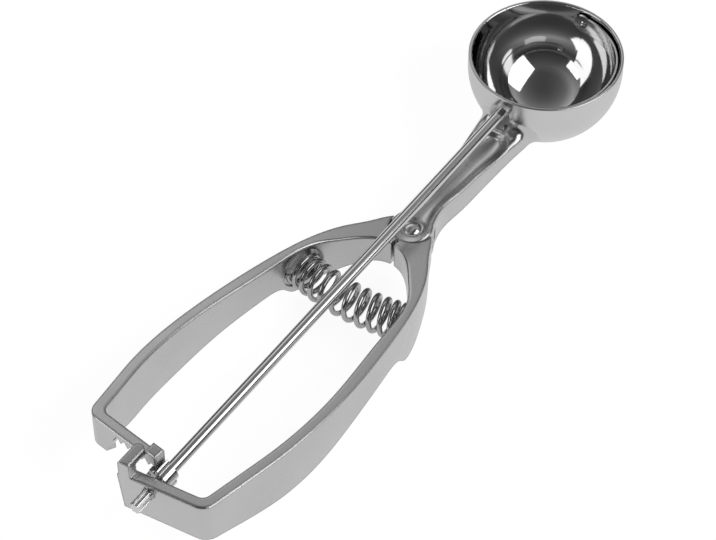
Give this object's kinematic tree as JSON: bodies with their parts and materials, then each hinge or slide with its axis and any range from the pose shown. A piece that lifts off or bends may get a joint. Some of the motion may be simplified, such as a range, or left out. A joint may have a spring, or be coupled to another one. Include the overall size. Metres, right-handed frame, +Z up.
{
  "type": "squeeze ice cream scoop",
  "caption": "Lever ice cream scoop: round bowl on a cast neck, sprung squeeze handles, and a curved scraper blade turned by a rack and pinion through a long rod.",
  "frame": {"origin": "under the middle of the whole scoop, on the surface that it lies on", "axes": "+X along the scraper rod from the handles to the bowl, +Y to the side of the moving handle, +Z up out of the bowl"},
  "size_m": [0.1916, 0.0462, 0.0274],
  "materials": {
    "bowl": "mirror polished inside, fine satin outside",
    "casting": "satin",
    "polished_steel": "polished",
    "spring_wire": "bright drawn wire"
  },
  "bodies": {
    "frame": {"bowl": "bowl", "neck": "casting", "fixed_handle": "casting", "pivot_rivet": "polished_steel", "blade_pin": "polished_steel", "return_spring": "spring_wire"},
    "lever": {"moving_handle": "casting"},
    "scraper": {"scraper_rod": "polished_steel", "rod_pinion": "polished_steel", "scraper_blade": "polished_steel"}
  },
  "joints": [
    {"name": "squeeze", "type": "hinge", "parent": "frame", "child": "lever", "pos_m": [0.01456, -0.00296, 0.02], "axis": [0, 0, 1], "range_deg": [0, 5.58], "stiffness_Nm_per_rad": 6, "springref_deg": -2.86, "deforming": ["return_spring"]},
    {"name": "sweep", "type": "hinge", "parent": "frame", "child": "scraper", "pos_m": [0.07506, -0.00296, 0.02], "axis": [1, 0, 0], "range_deg": [0, 176]}
  ],
  "couplings": [
    {"joint": "sweep", "follows": "squeeze", "ratio": 31.538}
  ]
}
